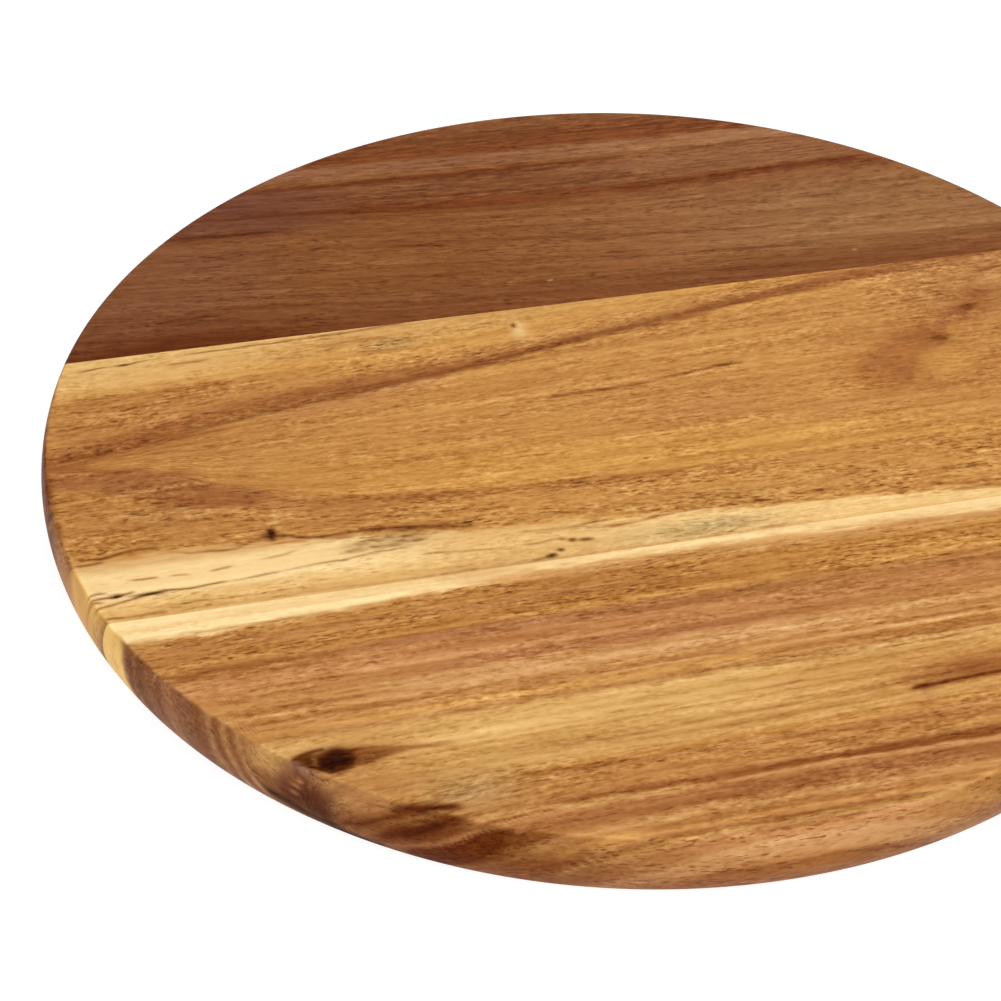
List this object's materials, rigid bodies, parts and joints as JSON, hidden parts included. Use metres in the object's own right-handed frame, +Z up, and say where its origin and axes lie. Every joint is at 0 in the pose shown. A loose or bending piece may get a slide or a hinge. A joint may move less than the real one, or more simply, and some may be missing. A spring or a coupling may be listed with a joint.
{
  "type": "chopping board",
  "caption": "Round wooden chopping board of edge-glued staves with a softly bulged edge, for cutting and serving food.",
  "frame": {"origin": "centre of the flat underside that the board rests on", "axes": "+Z up, square to the flat faces; +X along the grain and the glue lines; +Y towards the dark stave at the back"},
  "size_m": [0.3, 0.3, 0.016],
  "materials": {
    "striped_wood": "oiled, satin, golden brown with darker stripes",
    "golden_wood": "oiled, satin, golden with pale sapwood at its edges",
    "dark_wood": "oiled, satin, dark reddish brown",
    "pale_glue": "set wood glue, sanded flush and oiled",
    "dark_glue": "set wood glue, sanded flush and oiled"
  },
  "bodies": {
    "root": {"front_stave": "striped_wood", "front_glue_line": "pale_glue", "middle_stave": "golden_wood", "back_glue_line": "dark_glue", "back_stave": "dark_wood"}
  },
  "joints": []
}
